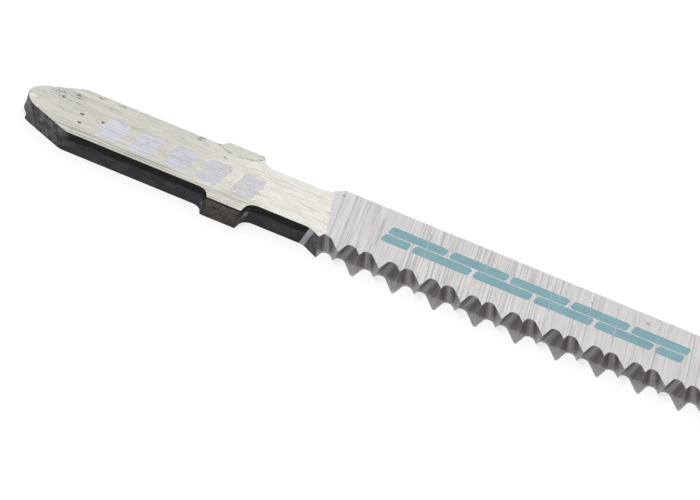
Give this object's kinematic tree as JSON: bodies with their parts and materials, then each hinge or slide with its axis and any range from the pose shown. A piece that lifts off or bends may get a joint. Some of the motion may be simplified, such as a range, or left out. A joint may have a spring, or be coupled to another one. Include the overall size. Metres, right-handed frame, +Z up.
{
  "type": "jigsaw blade",
  "caption": "Flat steel saw blade with a T shank: two side lugs, a body ground thinner towards its back, and fine teeth between grooves that lean left and right by turns.",
  "frame": {"origin": "midway between the two lugs of the shank, on the shank's lower face, which the blade lies on", "axes": "+X along the blade towards its cutting end, +Y across it towards the plain back edge, +Z up through the strip's thickness"},
  "size_m": [0.083, 0.0083, 0.0016],
  "materials": {
    "steel": "bright rolled faces on the shank, cross-ground body, blackened punched edges, printed teal stripes"
  },
  "bodies": {
    "root": {"blade": "steel"}
  },
  "joints": []
}
